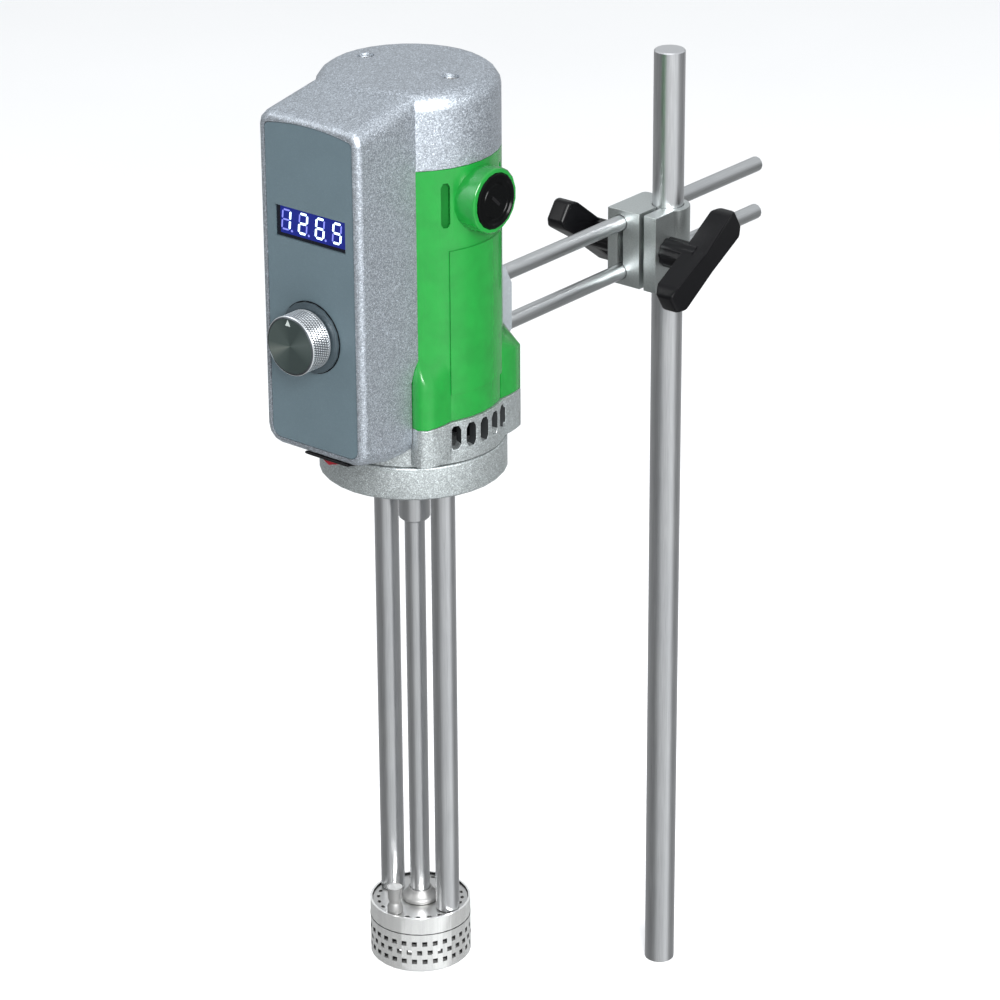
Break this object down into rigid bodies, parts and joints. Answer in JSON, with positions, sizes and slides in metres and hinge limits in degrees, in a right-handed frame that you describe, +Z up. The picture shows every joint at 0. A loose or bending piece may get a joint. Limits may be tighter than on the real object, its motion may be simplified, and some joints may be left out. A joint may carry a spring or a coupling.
{
  "type": "rotor stator homogenizer",
  "caption": "Laboratory rotor stator homogenizer: a control box on a round motor, a perforated head on long rods, held by a cross clamp on a stand rod.",
  "frame": {"origin": "centre of the stand rod's lower end face", "axes": "+Z up along the stand rod, -Y out of the control panel, +Y along the arm rods to their free ends"},
  "size_m": [0.107, 0.367, 0.5553],
  "materials": {
    "stand_steel": "brushed",
    "clamp_metal": "cast",
    "screw_steel": "machined",
    "handle_black": "satin",
    "arm_steel": "brushed",
    "bracket_grey": "painted",
    "housing_silver": "painted",
    "shell_green": "gloss",
    "case_silver": "painted",
    "flange_silver": "painted",
    "cap_black": "gloss",
    "brass": "machined",
    "carbon": "matt",
    "spring_steel": "bright",
    "laminations": "laminated",
    "copper_winding": "lacquered",
    "commutator_copper": "machined",
    "bearing_steel": "ground",
    "panel_grey": "matt",
    "display_blue": "gloss",
    "seat_ring": "satin",
    "inner_black": "satin",
    "board_green": "satin",
    "switch_black": "satin",
    "support_steel": "polished",
    "head_steel": "polished",
    "bush_steel": "polished",
    "stud_steel": "polished",
    "stator_steel": "satin",
    "shaft_steel": "ground",
    "coupling_steel": "satin",
    "drive_steel": "polished",
    "rotor_steel": "satin",
    "knob_metal": "knurled",
    "rocker_red": "gloss"
  },
  "bodies": {
    "stand": {"stand_rod": "stand_steel"},
    "clamp": {"cross_clamp": "clamp_metal"},
    "stand_screw_body": {"stand_screw": "screw_steel"},
    "stand_handle_body": {"stand_handle": "handle_black"},
    "arm_screw_body": {"arm_screw": "screw_steel"},
    "arm_handle_body": {"arm_handle": "handle_black"},
    "mixer": {"upper_arm_rod": "arm_steel", "lower_arm_rod": "arm_steel", "arm_bracket": "bracket_grey", "control_housing": "housing_silver", "cap_screw_left": "screw_steel", "cap_screw_right": "screw_steel", "motor_shell": "shell_green", "motor_end_case": "case_silver", "base_flange": "flange_silver", "brush_cap_left": "cap_black", "brush_cap_right": "cap_black", "brush_holder_left": "brass", "brush_holder_right": "brass", "brush_left": "carbon", "brush_right": "carbon", "brush_spring_left": "spring_steel", "brush_spring_right": "spring_steel", "field_core": "laminations", "field_coil_front": "copper_winding", "field_coil_back": "copper_winding", "lower_bearing": "bearing_steel", "upper_bearing": "bearing_steel", "front_panel": "panel_grey", "display_module": "display_blue", "knob_seat_ring": "seat_ring", "encoder_body": "inner_black", "control_board": "board_green", "switch_body": "switch_black", "support_rod_left": "support_steel", "support_rod_right": "support_steel", "head_plate": "head_steel", "shaft_bush": "bush_steel", "stud_nut_front": "stud_steel", "stud_nut_back": "stud_steel", "stator": "stator_steel"},
    "rotor_assembly": {"motor_shaft": "shaft_steel", "armature_core": "laminations", "commutator": "commutator_copper", "cooling_fan": "inner_black", "shaft_coupling": "coupling_steel", "drive_shaft": "drive_steel", "rotor": "rotor_steel"},
    "encoder_spindle": {"encoder_shaft": "shaft_steel"},
    "knob": {"speed_knob": "knob_metal"},
    "rocker": {"power_rocker": "rocker_red"}
  },
  "joints": [
    {"name": "clamp_height", "type": "slide", "parent": "stand", "child": "clamp", "axis": [0, 0, 1], "range_m": [-0.075, 0.075]},
    {"name": "stand_screw_advance", "type": "slide", "parent": "clamp", "child": "stand_screw_body", "axis": [1, 0, 0], "range_m": [0, 0.002]},
    {"name": "stand_handle_turn", "type": "hinge", "parent": "stand_screw_body", "child": "stand_handle_body", "pos_m": [0.009, -0.01235, 0.418], "axis": [1, 0, 0], "range_deg": [0, 720]},
    {"name": "arm_screw_advance", "type": "slide", "parent": "clamp", "child": "arm_screw_body", "axis": [-1, 0, 0], "range_m": [0, 0.002]},
    {"name": "arm_handle_turn", "type": "hinge", "parent": "arm_screw_body", "child": "arm_handle_body", "pos_m": [-0.0215, -0.01235, 0.418], "axis": [-1, 0, 0], "range_deg": [0, 720]},
    {"name": "arm_reach", "type": "slide", "parent": "clamp", "child": "mixer", "axis": [0, 1, 0], "range_m": [-0.075, 0.08]},
    {"name": "rotor_spin", "type": "hinge", "parent": "mixer", "child": "rotor_assembly", "pos_m": [-0.0135, -0.185, 0.353], "axis": [0, 0, 1], "continuous": true},
    {"name": "knob_push", "type": "slide", "parent": "mixer", "child": "encoder_spindle", "axis": [0, 1, 0], "range_m": [0, 0.0006], "stiffness_N_per_m": 2500, "springref_m": -0.0004},
    {"name": "knob_turn", "type": "hinge", "parent": "encoder_spindle", "child": "knob", "pos_m": [-0.0141, -0.256, 0.4404], "axis": [0, 1, 0], "continuous": true},
    {"name": "rocker_tilt", "type": "hinge", "parent": "mixer", "child": "rocker", "pos_m": [-0.0081, -0.248, 0.37964], "axis": [0, 0.9766, -0.2149], "range_deg": [-10, 0]}
  ],
  "couplings": [
    {"joint": "stand_screw_advance", "follows": "stand_handle_turn", "m_per_rad": 0.00015915},
    {"joint": "arm_screw_advance", "follows": "arm_handle_turn", "m_per_rad": 0.00015915}
  ]
}
